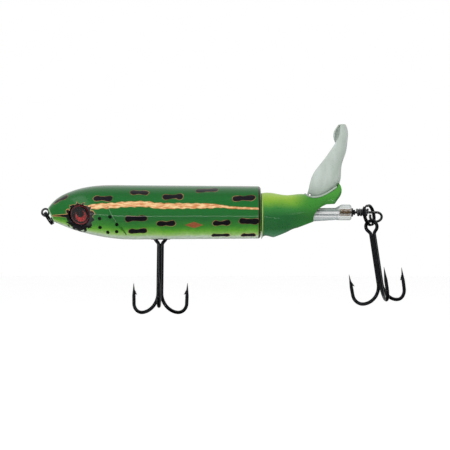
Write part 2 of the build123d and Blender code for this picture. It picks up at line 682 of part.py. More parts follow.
# ---------------------------------------------------------------- the lure
def build():
    """Every node's shape by name."""
    left, right = hull_shells()
    nodes = {"body_shell_left": left, "body_shell_right": right}
    for name, side in (("left", -1), ("right", 1)):
        nodes["eye_disc_" + name] = eye_disc(side)
        nodes["eye_lens_" + name] = eye_lens(side)
    nodes["line_tie_wire"] = line_tie()
    nodes["ballast_front"] = ballast_slug(SLUG_SPANS[0])
    nodes["ballast_rear"] = ballast_slug(SLUG_SPANS[1])
    nodes["hook_pin"] = hook_pin()
    nodes["pocket_bezel"] = pocket_bezel()
    nodes["rattle_ball"] = rattle_ball()
    nodes["tail_shaft"] = tail_shaft()
    nodes["shaft_wraps"] = shaft_wraps()
    nodes["hull_bush"] = bush(HULL_REAR - REAR_WALL_THICKNESS, HULL_REAR, HULL_BUSH_RADIUS)
    nodes["thrust_washer"] = shaft_collar(HULL_REAR + FIT, TAIL_FRONT - FIT,
                                          THRUST_WASHER_RADIUS)
    nodes["stop_washer"] = shaft_collar(*STOP_WASHER, edge=STOP_WASHER_EDGE)
    nodes["stop_bead"] = shaft_collar(*STOP_BEAD, edge=STOP_BEAD_EDGE)

    nodes["tail_cone"] = tail_cone()
    nodes["tail_blade"] = tail_blade()
    nodes["tail_sleeve"] = tail_sleeve()
    nodes["tail_bush_front"] = bush(TAIL_FRONT, TAIL_FRONT + FRONT_BUSH_LENGTH,
                                    TAIL_BUSH_RADIUS)
    nodes["tail_bush_rear"] = bush(*REAR_BUSH, TAIL_BUSH_RADIUS)

    hang = math.radians(LINE_RING_HANG)
    hang_way = Vector(math.cos(hang), 0, -math.sin(hang))
    nodes["line_ring"] = split_ring(hang_way * LINE_RING_RADIUS, hang_way.cross(Vector(0, 1, 0)),
                                    Vector(0, 1, 0), LINE_RING_RADIUS, LINE_RING_WIRE)
    nodes["tail_ring"] = split_ring(RING_CENTRE, RING_NORMAL, ring_point(RING_SPLIT_AT), TAIL_RING_RADIUS,
                                    TAIL_RING_WIRE)

    belly = Pos(*BELLY_PIVOT) * Rotation(BELLY_TREBLE_TILT, 0, 0)
    rear = Pos(*REAR_PIVOT) * Rotation(0, REAR_TREBLE_TRAIL, 0) * Rotation(
        REAR_TREBLE_TILT, 0, 0) * Rotation(0, 0, REAR_TREBLE_TURN)
    for name, place in (("belly", belly), ("rear", rear)):
        nodes[name + "_hook_double"] = place * double_hook()
        nodes[name + "_hook_single"] = place * third_hook()
    return nodes


def main():
    """Write one STEP file for each node."""
    os.makedirs("parts", exist_ok=True)
    for name, shape in build().items():
        export_step(shape, "parts/" + name + ".step")


main()
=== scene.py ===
"""Looks for the topwater lure: procedural paint, plastics and metals on the CAD frame.

+X runs back to the tail, +Z is up and -Y is the fish's left side.  Paint is laid out in
millimetres.  What is placed in the scene itself is in metres.
"""
import math

import bmesh
import bpy
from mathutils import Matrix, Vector


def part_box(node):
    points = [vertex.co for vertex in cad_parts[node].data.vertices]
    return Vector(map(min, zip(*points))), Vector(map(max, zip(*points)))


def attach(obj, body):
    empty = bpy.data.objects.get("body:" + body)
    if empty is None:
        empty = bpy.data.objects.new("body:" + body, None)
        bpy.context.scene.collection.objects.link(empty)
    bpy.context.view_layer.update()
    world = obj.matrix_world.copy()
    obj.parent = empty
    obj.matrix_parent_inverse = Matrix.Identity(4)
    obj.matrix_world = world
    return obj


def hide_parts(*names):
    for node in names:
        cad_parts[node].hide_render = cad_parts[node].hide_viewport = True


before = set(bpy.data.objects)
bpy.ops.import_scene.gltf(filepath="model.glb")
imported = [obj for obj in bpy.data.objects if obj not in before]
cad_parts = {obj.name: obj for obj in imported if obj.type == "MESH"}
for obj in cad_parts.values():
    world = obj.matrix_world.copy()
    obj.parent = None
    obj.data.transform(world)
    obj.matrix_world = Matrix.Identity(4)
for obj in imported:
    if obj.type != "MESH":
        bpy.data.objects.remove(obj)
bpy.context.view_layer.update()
PER_METRE = 1000.0                  # millimetres in a metre


# ---------------------------------------------------------------- colour and node helpers
def srgb(red, green, blue):
    """A linear colour from 0-255 display values."""
    def channel(value):
        value /= 255
        return value / 12.92 if value <= 0.04045 else ((value + 0.055) / 1.055) ** 2.4
    return (channel(red), channel(green), channel(blue), 1.0)


class Nodes:
    """Shorthand for wiring one node tree.  Values may be numbers or sockets."""

    def __init__(self, tree):
        self.tree = tree

    def node(self, kind):
        return self.tree.nodes.new(kind)

    def feed(self, socket, value):
        if isinstance(value, bpy.types.NodeSocket):
            self.tree.links.new(value, socket)
        else:
            socket.default_value = value

    def math(self, operation, first, second=0.0, third=0.0, clamp=False):
        node = self.node("ShaderNodeMath")
        node.operation = operation
        node.use_clamp = clamp
        for socket, value in zip(node.inputs, (first, second, third)):
            self.feed(socket, value)
        return node.outputs[0]

    def apart(self, first, second):
        """How far two numbers are from each other."""
        return self.math("ABSOLUTE", self.math("SUBTRACT", first, second))

    def vector(self, x, y, z=0.0):
        node = self.node("ShaderNodeCombineXYZ")
        for socket, value in zip(node.inputs, (x, y, z)):
            self.feed(socket, value)
        return node.outputs[0]

    def parts(self, vector):
        node = self.node("ShaderNodeSeparateXYZ")
        self.feed(node.inputs[0], vector)
        return node.outputs

    def vmath(self, operation, first, second=(0.0, 0.0, 0.0)):
        node = self.node("ShaderNodeVectorMath")
        node.operation = operation
        self.feed(node.inputs[0], first)
        self.feed(node.inputs[1], second)
        return node.outputs["Value" if operation in ("LENGTH", "DISTANCE", "DOT_PRODUCT") else 0]

    def scaled(self, vector, factor):
        node = self.node("ShaderNodeVectorMath")
        node.operation = "SCALE"
        self.feed(node.inputs[0], vector)
        self.feed(node.inputs["Scale"], factor)
        return node.outputs[0]

    def ranged(self, value, low, high, low_to=0.0, high_to=1.0, smooth=True):
        """Carries low..high over to low_to..high_to and stays there beyond both ends."""
        node = self.node("ShaderNodeMapRange")
        node.interpolation_type = "SMOOTHSTEP" if smooth else "LINEAR"
        for socket, item in zip(node.inputs, (value, low, high, low_to, high_to)):
            self.feed(socket, item)
        return node.outputs[0]

    def below(self, value, edge, soft=0.12):
        """1 where value is under edge, 0 above it."""
        shifted = self.math("SUBTRACT", value, edge)
        return self.ranged(shifted, -soft / 2, soft / 2, 1.0, 0.0)

    def blend(self, share, first, second):
        """A number between first and second."""
        node = self.node("ShaderNodeMix")
        for socket, value in zip((node.inputs[0], *node.inputs[2:4]), (share, first, second)):
            self.feed(socket, value)
        return node.outputs[0]

    def mix(self, share, first, second, strength=1.0):
        """A colour between first and second."""
        node = self.node("ShaderNodeMix")
        node.data_type = "RGBA"
        if strength != 1.0:
            share = self.math("MULTIPLY", share, strength)
        for socket, value in zip((node.inputs[0], *node.inputs[6:8]), (share, first, second)):
            self.feed(socket, value)
        return node.outputs[2]

    def ramp(self, value, stops):
        """Colours along a value: stops are (value, colour)."""
        low, high = stops[0][0], stops[-1][0]
        node = self.node("ShaderNodeValToRGB")
        self.feed(node.inputs[0], self.ranged(value, low, high, smooth=False))
        elements = node.color_ramp.elements
        while len(elements) < len(stops):
            elements.new(1.0)
        for element, (at, colour) in zip(elements, stops):
            element.position = (at - low) / (high - low)
            element.color = colour
        return node.outputs[0]

    def profile(self, value, points):
        """A number that follows a curve through (value, number) points."""
        low, high = points[0][0], points[-1][0]
        scale = max(abs(number) for _, number in points)
        node = self.node("ShaderNodeFloatCurve")
        node.mapping.use_clip = False
        curve = node.mapping.curves[0]
        spots = [((at - low) / (high - low), number / scale) for at, number in points]
        curve.points[0].location = spots[0]
        curve.points[-1].location = spots[-1]
        for spot in spots[1:-1]:
            curve.points.new(*spot)
        node.mapping.update()
        self.feed(node.inputs["Value"], self.ranged(value, low, high, smooth=False))
        return self.math("MULTIPLY", node.outputs[0], scale)

    def least(self, values):
        result = values[0]
        for value in values[1:]:
            result = self.math("MINIMUM", result, value)
        return result

    def segment(self, point, start, end):
        """Distance from a point to a straight line between two (x, z) places."""
        way = Vector((end[0] - start[0], end[1] - start[1], 0))
        offset = self.vmath("SUBTRACT", point, (start[0], start[1], 0.0))
        along = self.math("DIVIDE", self.vmath("DOT_PRODUCT", offset, tuple(way)),
                          way.length_squared, clamp=True)
        return self.vmath("DISTANCE", offset, self.scaled(tuple(way), along))

    def path(self, point, places):
        """Distance from a point to a run of straight lines through (x, z) places."""
        return self.least([self.segment(point, *ends) for ends in zip(places, places[1:])])


class Paint(Nodes):
    """One procedural material.  place, x, y and z are the shared frame at rest, in millimetres."""

    def __init__(self, name, **shader):
        self.material = bpy.data.materials.new(name)
        self.material.use_nodes = True
        super().__init__(self.material.node_tree)
        self.tree.nodes.clear()
        self.shader = self.node("ShaderNodeBsdfPrincipled")
        self.feed(self.node("ShaderNodeOutputMaterial").inputs[0], self.shader.outputs[0])
        for key, value in shader.items():
            self.shader.inputs[key.replace("_", " ")].default_value = value
        coordinates = self.node("ShaderNodeTexCoord").outputs["Object"]
        self.place = self.scaled(coordinates, PER_METRE)
        self.x, self.y, self.z = self.parts(self.place)

    def noise(self, scale, detail=2.0, stretch=None):
        """Cloudy noise.  Under 1 in stretch, the clouds are drawn out along that axis."""
        node = self.node("ShaderNodeTexNoise")
        place = self.vmath("MULTIPLY", self.place, stretch) if stretch else self.place
        self.feed(node.inputs["Vector"], place)
        node.inputs["Scale"].default_value = scale
        node.inputs["Detail"].default_value = detail
        return node.outputs[0]

    def spread(self, value, low_to=0.0, high_to=1.0):
        """The useful middle of a noise, spread over low_to..high_to."""
        return self.ranged(value, 0.3, 0.7, low_to, high_to)

    def facing(self, blend, low, high):
        """0 where the surface faces the viewer, 1 where it is seen edge on."""
        node = self.node("ShaderNodeLayerWeight")
        node.inputs["Blend"].default_value = blend
        return self.ranged(node.outputs["Facing"], low, high)

    def colour(self, value):
        self.feed(self.shader.inputs["Base Color"], value)

    def alpha(self, value):
        self.feed(self.shader.inputs["Alpha"], value)

    def rough(self, value):
        self.feed(self.shader.inputs["Roughness"], value)

    def bump(self, height, strength, distance_mm):
        node = self.node("ShaderNodeBump")
        node.inputs["Strength"].default_value = strength
        node.inputs["Distance"].default_value = distance_mm / PER_METRE
        self.feed(node.inputs["Height"], height)
        self.feed(self.shader.inputs["Normal"], node.outputs[0])


# ---------------------------------------------------------------- hull paint: layout
PAINT_RADIUS = 11.4                 # the girth that turns an angle into a height on the skin
HEAD_END = 38.0
BROW_X = 13.0
BROW_RISE = 1.0
NOSE_X = 0.5
NOSE_DROP = 2.0
NOSE_CURL = 4.0                     # how late the nose starts to drop
NOSE_FACE = (1.1, 1.9, 24.8)        # x, z and lean of the slanted nose face
NOSE_RIM_WIDTH = 0.55
HULL_REAR = 92.0
REAR_RIM = (HULL_REAR - 0.72, 0.34)         # middle, half width
SEAM_HALF = 0.05

# x, degrees up from the side, half length, half height, slant, squeeze of its height
SPOTS = [
    (7.1, 47.0, 2.9, 1.05, 0.10, 0.58),
    (25.3, 28.5, 4.0, 1.30, 0.02, 1.0),
    (40.6, 46.0, 3.9, 1.35, -0.02, 1.0),
    (54.8, 34.5, 4.4, 1.40, 0.06, 1.0),
    (69.1, 55.0, 4.7, 1.35, 0.12, 1.0),
    (84.7, 32.0, 4.8, 1.35, 0.08, 1.0),
    (25.2, 84.0, 3.4, 1.50, 0.0, 1.0),
    (54.6, 86.0, 3.8, 1.50, 0.0, 1.0),
    (84.0, 84.0, 3.6, 1.50, 0.0, 1.0),
    (39.4, -13.6, 4.6, 1.25, 0.03, 1.0),
    (52.0, -25.0, 3.9, 1.20, 0.03, 1.0),
    (75.3, -24.0, 3.7, 1.25, 0.06, 1.0),
    (86.9, -20.0, 4.1, 1.35, -0.03, 1.0),
    (39.9, -44.0, 3.9, 1.45, 0.04, 1.0),
    (74.9, -59.5, 3.9, 1.30, 0.03, 1.0),
    (86.8, -59.5, 3.1, 1.40, 0.0, 1.0),
]
SPOT_PINCH = 0.38                   # how much thinner a spot is at its waist
WAIST_REACH = 0.7                   # share of the half length that the waist takes
SPOT_SHAKE = 1.1                    # how far a spot's edge wanders
OUTLINE = 0.2
DIAMOND = (63.7, -28.5, 3.9, 1.55)  # x, degrees, half length, half height

STRIPE_HEIGHT = [(18.0, 1.2), (24.0, 2.0), (30.0, 2.6), (38.0, 3.4), (43.0, 3.4), (49.0, 2.7),
                 (73.0, 2.6), (80.0, 1.9), (92.0, 1.5)]
STRIPE_HALF = [(18.0, 1.0), (24.0, 1.15), (66.0, 1.15), (74.0, 0.75), (80.0, 0.5), (92.0, 0.45)]
STRIPE_ENDS = (19.0, 90.9)
STRIPE_WAVE = 4.0                   # length of one wave
STRIPE_SWING = (0.15, 0.04)         # height of the waves in front and at the rear
STRIPE_CALMS = (62.0, 76.0)         # where the waves get lower
STRIPE_RAGGED = 0.7

CORONA = (15.5, -2.15, 5.25, 1.35, 13)      # x, z, inner radius, spike height, spikes
CORONA_TWIST = 0.9                          # how uneven the spikes are
NOSE_SPIKE = (3.7, 10.5, -1.5, 0.55)        # start, end, height, half thickness
SPIKE_TIP = 0.12
GILL_PITS = [(24.0, -2.7), (28.4, -2.0), (31.2, -5.2), (24.0, -6.4), (27.2, -8.5), (31.0, -8.2)]
GILL_PIT_RADIUS = 0.74
# (x, z) paths of the painted highlight and the painted shade along the gill crease
GILL_CREASE_HIGHLIGHT_PATH = [(27.4, 2.4), (29.3, -1.5), (31.0, -4.2)]
GILL_CREASE_SHADE_PATH = [(33.0, -6.3), (34.0, -7.7), (34.9, -9.4)]

# ---------------------------------------------------------------- hull paint: colours
BACK_GREEN = srgb(24, 92, 38)
INK = srgb(18, 14, 22)
RUST = srgb(132, 66, 44)
TAN = srgb(186, 132, 94)
STRIPE_TANS = (srgb(208, 134, 84), srgb(240, 204, 150))
STRIPE_EDGE = srgb(176, 100, 52)
CORONA_TRIM = srgb(206, 150, 92)
DIAMOND_BROWNS = (srgb(120, 52, 26), srgb(168, 92, 46))
# painted highlight and painted shade colours for the gill crease
GILL_PAINTED_HIGHLIGHT = srgb(150, 190, 150)
GILL_PAINTED_SHADE = srgb(16, 70, 24)
PIT_BLACK = srgb(8, 16, 10)
NOSE_RIM_GREEN = srgb(150, 185, 140)
REAR_RIM_BROWN = srgb(48, 24, 14)
SEAM_GREEN = srgb(20, 60, 26)
SKIN_STOPS = [                      # degrees up from the side, colour
    (-90.0, srgb(190, 198, 190)), (-66.0, srgb(178, 194, 172)), (-56.0, srgb(140, 180, 96)),
    (-44.0, srgb(92, 160, 36)), (-32.0, srgb(46, 132, 28)), (-16.0, srgb(24, 108, 40)),
    (20.0, srgb(22, 104, 40)), (55.0, srgb(24, 96, 40)), (90.0, srgb(44, 96, 58)),
]


# ---------------------------------------------------------------- hull paint
def skin_height(g):
    """Angle up from the side of the hull, in degrees, and the same as a height on the skin."""
    drop = g.math("DIVIDE", g.math("SUBTRACT", BROW_X, g.x), BROW_X - NOSE_X)
    drop = g.math("POWER", g.math("MAXIMUM", drop, 0.0), NOSE_CURL)
    centre = g.ranged(g.x, BROW_X, HEAD_END, BROW_RISE, 0.0)
    centre = g.math("SUBTRACT", centre, g.math("MULTIPLY", drop, NOSE_DROP))
    turn = g.math("ARCTAN2", g.math("SUBTRACT", g.z, centre), g.math("ABSOLUTE", g.y))
    return g.math("MULTIPLY", turn, 180 / math.pi), g.math("MULTIPLY", turn, PAINT_RADIUS)


def above(g, height, degrees):
    """How far a point on the skin is above an angle."""
    return g.math("SUBTRACT", height, math.radians(degrees) * PAINT_RADIUS)


def spot_distance(g, x, height, spot):
    """How far a point is outside one pinched, round-ended spot."""
    at_x, angle, half, thick, slant, squeeze = spot
    across = g.math("SUBTRACT", x, at_x)
    up = g.math("MULTIPLY", above(g, height, angle), squeeze)
    up = g.math("MULTIPLY_ADD", across, -slant, up)
    across = g.math("ABSOLUTE", across)
    waist = g.ranged(across, 0.0, half * WAIST_REACH, 1 + SPOT_PINCH, 1.0)
    up = g.math("MULTIPLY", up, waist)
    beyond = g.math("MAXIMUM", g.math("SUBTRACT", across, half - thick), 0.0)
    return g.math("SUBTRACT", g.vmath("LENGTH", g.vector(beyond, up)), thick)


def add_stripe(g, colour, height):
    """The wavy tan line from the eye to the rear rim."""
    middle = g.profile(g.x, STRIPE_HEIGHT)
    half = g.profile(g.x, STRIPE_HALF)
    wave = g.math("SINE", g.math("MULTIPLY", g.x, 2 * math.pi / STRIPE_WAVE))
    middle = g.math("MULTIPLY_ADD", wave, g.ranged(g.x, *STRIPE_CALMS, *STRIPE_SWING), middle)
    ragged = g.math("MULTIPLY_ADD", g.noise(0.75, 3.0), STRIPE_RAGGED, -STRIPE_RAGGED / 2)
    off = g.math("ABSOLUTE", g.math("ADD", g.math("SUBTRACT", height, middle), ragged))
    beyond = g.math("SUBTRACT", off, half)
    start, end = STRIPE_ENDS
    inside = g.math("MULTIPLY", g.below(beyond, 0.0, 0.2), g.ranged(g.x, start, start + 0.4))
    inside = g.math("MULTIPLY", inside, g.below(g.x, end))
    streak = g.noise(1.0, 4.0, (0.35, 1.0, 1.6))
    tan = g.mix(g.ranged(streak, 0.38, 0.62), *STRIPE_TANS)
    tan = g.mix(g.ranged(beyond, -0.35, -0.05), tan, STRIPE_EDGE, 0.55)
    return g.mix(inside, colour, tan)


def add_spots(g, colour, height):
    """Black pinched spots with a worn rust and tan outline."""
    shake = g.math("MULTIPLY_ADD", g.noise(0.45, 2.0), SPOT_SHAKE, -SPOT_SHAKE / 2)
    height = g.math("ADD", height, shake)
    x = g.math("ADD", g.x, g.math("MULTIPLY", shake, 0.6))
    away = g.least([spot_distance(g, x, height, spot) for spot in SPOTS])
    worn = g.noise(0.3, 2.0)
    trim = g.mix(g.ranged(worn, 0.45, 0.62), RUST, TAN)
    shown = g.math("MULTIPLY", g.below(away, OUTLINE, 0.22), g.ranged(worn, 0.3, 0.55, 0.3, 0.8))
    return g.mix(g.below(away, 0.0), g.mix(shown, colour, trim), INK)


def add_diamond(g, colour, height):
    """The brown diamond on the lower side."""
    x, angle, half, thick = DIAMOND
    across = g.math("DIVIDE", g.apart(g.x, x), half)
    up = g.math("DIVIDE", g.math("ABSOLUTE", above(g, height, angle)), thick)
    inside = g.below(g.math("ADD", across, up), 1.0, 0.25)
    return g.mix(inside, colour, g.mix(g.noise(1.2, 3.0), *DIAMOND_BROWNS))


def corona_distance(g):
    """How far a point is outside the jagged ring round the eye."""
    at_x, at_z, inner, spike, count = CORONA
    across = g.math("SUBTRACT", g.x, at_x)
    up = g.math("SUBTRACT", g.z, at_z)
    turn = g.math("ARCTAN2", up, across)
    turn = g.math("MULTIPLY_ADD", g.noise(0.35, 1.0), CORONA_TWIST, turn)
    tooth = g.math("PINGPONG", g.math("MULTIPLY", turn, count / (2 * math.pi)), 0.5)
    edge = g.math("MULTIPLY_ADD", tooth, 2 * spike, inner)
    return g.math("SUBTRACT", g.vmath("LENGTH", g.vector(across, up)), edge)


def nose_spike_distance(g):
    """How far a point is outside the spike that runs from the eye to the nose."""
    start, end, middle, thick = NOSE_SPIKE
    taper = g.ranged(g.x, start, end, SPIKE_TIP, thick)
    taper = g.math("MULTIPLY_ADD", g.noise(0.8, 2.0), 0.5, taper)
    beyond = g.math("SUBTRACT", g.apart(g.z, middle), g.math("SUBTRACT", taper, 0.2))
    beyond = g.math("MAXIMUM", beyond, g.math("SUBTRACT", start, g.x))
    return g.math("MAXIMUM", beyond, g.math("SUBTRACT", g.x, end))


def add_corona(g, colour):
    """The dark ring and its spike, with a tan outline on their upper side."""
    beyond = g.math("MINIMUM", corona_distance(g), nose_spike_distance(g))
    at_z = CORONA[1]
    upper = g.ranged(g.z, at_z - 0.5, at_z + 0.8)
    trim = g.math("MULTIPLY", g.below(beyond, OUTLINE), upper)
    return g.mix(g.below(beyond, 0.0), g.mix(trim, colour, CORONA_TRIM), INK)


def add_gill(g, colour):
    """The pits, and a painted highlight and a painted shade line along the gill cover's creased
    edge.
    """
    flat = g.vector(g.x, g.z)
    # painted highlight on the upper crease, painted shade on the lower
    colour = g.mix(g.below(g.path(flat, GILL_CREASE_HIGHLIGHT_PATH), 0.16, 0.2), colour, GILL_PAINTED_HIGHLIGHT, 0.5)
    colour = g.mix(g.below(g.path(flat, GILL_CREASE_SHADE_PATH), 0.2, 0.2), colour, GILL_PAINTED_SHADE, 0.8)
    pits = g.least([g.vmath("DISTANCE", flat, (x, z, 0.0)) for x, z in GILL_PITS])
    return g.mix(g.below(pits, GILL_PIT_RADIUS, 0.1), colour, PIT_BLACK)


def add_rims(g, colour):
    """The pale line round the nose face, the brown rear rim and the moulding seam."""
    x, z, lean = NOSE_FACE
    lean = math.radians(lean)
    behind = g.math("MULTIPLY", g.math("SUBTRACT", g.x, x), math.cos(lean))
    behind = g.math("MULTIPLY_ADD", g.math("SUBTRACT", g.z, z), math.sin(lean), behind)
    colour = g.mix(g.below(behind, NOSE_RIM_WIDTH, 0.25), colour, NOSE_RIM_GREEN, 0.75)
    middle, half = REAR_RIM
    colour = g.mix(g.below(g.apart(g.x, middle), half, 0.2), colour, REAR_RIM_BROWN)
    seam = g.below(g.math("ABSOLUTE", g.y), SEAM_HALF, 0.08)
    return g.mix(seam, colour, SEAM_GREEN, 0.5)


def hull_material():
    g = Paint("hull_paint", Specular_IOR_Level=0.5, Coat_Weight=0.9, Coat_Roughness=0.06,
              Coat_IOR=1.5)
    degrees, height = skin_height(g)
    cloud = g.math("MULTIPLY_ADD", g.noise(0.12, 3.0), 14.0, -7.0)
    colour = g.ramp(g.math("ADD", degrees, cloud), SKIN_STOPS)
    colour = g.mix(g.ranged(g.noise(0.9, 4.0), 0.35, 0.7), colour, BACK_GREEN, 0.22)
    colour = add_stripe(g, colour, height)
    colour = add_spots(g, colour, height)
    colour = add_diamond(g, colour, height)
    colour = add_corona(g, colour)
    colour = add_gill(g, colour)
    g.colour(add_rims(g, colour))
    g.rough(g.spread(g.noise(1.5, 4.0), 0.28, 0.4))
    g.bump(g.noise(0.35, 2.0), 0.12, 0.12)
    return g.material


# ---------------------------------------------------------------- tail paint
TAIL_FRONT = 92.3
# width of the painted highlight on the cone's front rim
CONE_RIM_WIDTH = 0.5
CONE_CLOUD = 2.2                    # how far the cone's bands wander
CONE_STOPS = [                      # height, colour
    (-12.0, srgb(120, 150, 130)), (-9.5, srgb(64, 120, 84)), (-7.0, srgb(28, 100, 44)),
    (-1.5, srgb(26, 104, 46)), (1.5, srgb(58, 132, 58)), (4.2, srgb(120, 172, 52)),
    (6.5, srgb(158, 194, 62)), (9.0, srgb(160, 196, 70)),
]
HORN_STOPS = [
    (-2.0, srgb(40, 112, 40)), (3.0, srgb(58, 138, 46)), (8.0, srgb(72, 152, 54)),
    (14.0, srgb(86, 160, 66)),
]
HORN_FADE = (103.0, 113.5)          # where the cone's bands give way to the horn's green
HORN_REAR = (121.2, 0.62)           # x at height 0 and slope of the horn's rear edge, where painted shade darkens it
HORN_EDGE_PAINTED_SHADE = srgb(24, 84, 34)
# painted highlight along the cone's front rim
CONE_RIM_HIGHLIGHT = srgb(176, 200, 110)
CONE_MOTTLE = srgb(30, 96, 40)


def tail_material():
    """Yellow-green over dark green, fading to a plain green horn, with painted shade along the
    horn's rear edge and a painted highlight on the front rim.
    """
    g = Paint("tail_paint", Coat_Weight=0.8, Coat_Roughness=0.07)
    cloud = g.math("MULTIPLY_ADD", g.noise(0.16, 3.0), CONE_CLOUD, -CONE_CLOUD / 2)
    height = g.math("ADD", g.z, cloud)
    colour = g.mix(g.ranged(g.x, *HORN_FADE), g.ramp(height, CONE_STOPS),
                   g.ramp(height, HORN_STOPS))
    # painted shade: the horn's rounded rear edge is darkened
    rear_x, slope = HORN_REAR
    rear = g.math("MULTIPLY_ADD", g.z, -slope, g.math("SUBTRACT", g.x, rear_x))
    colour = g.mix(g.ranged(rear, -1.4, 0.2), colour, HORN_EDGE_PAINTED_SHADE, 0.7)
    # painted highlight on the cone's front rim
    rim = g.below(g.x, TAIL_FRONT + CONE_RIM_WIDTH, 0.3)
    colour = g.mix(rim, colour, CONE_RIM_HIGHLIGHT, 0.8)
    g.colour(g.mix(g.noise(1.1, 4.0), colour, CONE_MOTTLE, 0.25))
    g.rough(g.spread(g.noise(1.5, 4.0), 0.26, 0.4))
    g.bump(g.noise(0.4, 2.0), 0.12, 0.12)
    return g.material


# ---------------------------------------------------------------- blade
BLADE_GREYS = (srgb(178, 190, 180), srgb(196, 206, 200))
BLADE_ROOT_GREEN = srgb(128, 154, 128)
BLADE_ROOT = (14.0, 6.0)            # heights where the greener root starts and is full
BLADE_HOLE = (112.9, 7.45, 0.0)
BLADE_HOLE_REACH = 0.62
HOLE_BLACK = srgb(16, 18, 14)
BLADE_LOBE = (27.0, 30.0, 123.6)    # heights where the painted highlight on the tip lobe starts and is full, rear end
LOBE_HIGHLIGHT_BLUE = srgb(206, 218, 228)
BLADE_EDGE_GREY = srgb(104, 126, 116)


def blade_material():
    """Frosted grey-green plastic, darker where it is seen edge on, with a painted pale blue
    highlight on the tip lobe.
    """
    g = Paint("blade_plastic", Alpha=0.9, Coat_Weight=0.3, Coat_Roughness=0.15)
    streak = g.noise(0.25, 3.0, (1.0, 1.0, 0.3))
    colour = g.mix(g.spread(streak), *BLADE_GREYS)
    colour = g.mix(g.ranged(g.z, *BLADE_ROOT), colour, BLADE_ROOT_GREEN, 0.5)
    hole = g.vmath("DISTANCE", g.vector(g.x, g.z), BLADE_HOLE)
    colour = g.mix(g.below(hole, BLADE_HOLE_REACH, 0.2), colour, HOLE_BLACK)
    # painted highlight: pale blue over the blade's tip lobe
    start, full, rear = BLADE_LOBE
    lobe = g.math("MULTIPLY", g.ranged(g.z, start, full), g.below(g.x, rear, 1.6))
    colour = g.mix(lobe, colour, LOBE_HIGHLIGHT_BLUE, 0.6)
    g.colour(g.mix(g.facing(0.35, 0.35, 0.95), colour, BLADE_EDGE_GREY, 0.55))
    g.rough(g.spread(g.noise(1.2, 4.0), 0.25, 0.4))
    g.bump(streak, 0.15, 0.15)
    return g.material


# ---------------------------------------------------------------- clear sleeve
SLEEVE_BELL_X = 126.0
SLEEVE_SINK = 0.65                  # how far the sleeve's middle lies under the spin axis
SLEEVE_PAINTED_BANDS = [                    # height on the tube, colour: white painted highlights, dark painted shade at top and bottom, grey between
    (-3.0, srgb(84, 112, 106)), (-2.1, srgb(168, 180, 178)), (-1.35, srgb(176, 184, 186)),
    (-0.95, srgb(246, 248, 248)), (-0.55, srgb(150, 156, 158)), (-0.1, srgb(112, 118, 120)),
    (0.25, srgb(244, 246, 246)), (1.0, srgb(240, 242, 242)), (1.4, srgb(150, 160, 158)),
    (2.2, srgb(120, 134, 130)), (3.0, srgb(96, 110, 106)),
]
BELL_GREY = srgb(188, 200, 194)
SLEEVE_RIM_SHADE = srgb(88, 106, 102)
TUBE_ALPHA = 0.6
BELL_ALPHA = (0.06, 0.42)           # over the brass bush, and over the wall round it
BUSH_EDGE = (1.4, 1.9)              # heights between which the bush gives way to the wall
EDGE_ALPHA = 0.85


def sleeve_material():
    """Clear plastic tube: lengthwise bands of painted highlight and painted shade, painted shade
    on the rims seen edge on, clearer over the rear bush.
    """
    g = Paint("clear_plastic", Coat_Weight=1.0, Coat_Roughness=0.03)
    flow = g.noise(0.8, 3.0, (0.1, 1.0, 1.0))
    height = g.math("ADD", g.z, g.math("MULTIPLY_ADD", flow, 0.4, SLEEVE_SINK))
    bell = g.ranged(g.x, SLEEVE_BELL_X - 1.0, SLEEVE_BELL_X)
    face = g.mix(bell, g.ramp(height, SLEEVE_PAINTED_BANDS), BELL_GREY)
    # painted shade on the tube's rims where it is seen edge on
    edge = g.facing(0.5, 0.3, 0.95)
    g.colour(g.mix(edge, face, SLEEVE_RIM_SHADE, 0.6))
    wall = g.ranged(g.math("ABSOLUTE", g.z), *BUSH_EDGE, *BELL_ALPHA)
    face_alpha = g.blend(bell, TUBE_ALPHA, wall)
    g.alpha(g.blend(edge, face_alpha, EDGE_ALPHA))
    g.rough(g.spread(g.noise(1.0, 3.0), 0.05, 0.12))
    g.bump(flow, 0.1, 0.1)
    return g.material


# ---------------------------------------------------------------- eyes
# offsets from the eye's centre along X, Y and Z, then a radius
IRIS = ((0.35, 0.0, -0.55), 2.55)
PUPIL = ((0.1, 0.0, 0.55), 1.75)
# painted highlight on the printed disc, standing in for a reflection on the lens
EYE_HIGHLIGHT_SPOT = ((2.0, 0.0, 2.0), 0.34)
EYE_RINGS = [                       # middle, half width, colour
    (3.42, 0.3, srgb(14, 6, 10)), (4.0, 0.3, srgb(138, 26, 34)), (4.5, 0.18, srgb(30, 6, 10)),
]
IRIS_REDS = (srgb(150, 18, 20), srgb(214, 40, 36))
IRIS_RAYS = 19.0
EYE_DARK = srgb(22, 8, 12)
PUPIL_BLACK = srgb(8, 7, 10)
EYE_HIGHLIGHT_WHITE = srgb(226, 214, 226)
LENS_DARKS = (srgb(10, 8, 12), srgb(34, 28, 36))
LENS_IOR = 1.45
LENS_SHEEN = (0.9, 0.03)            # gain and base of the sheen's cover


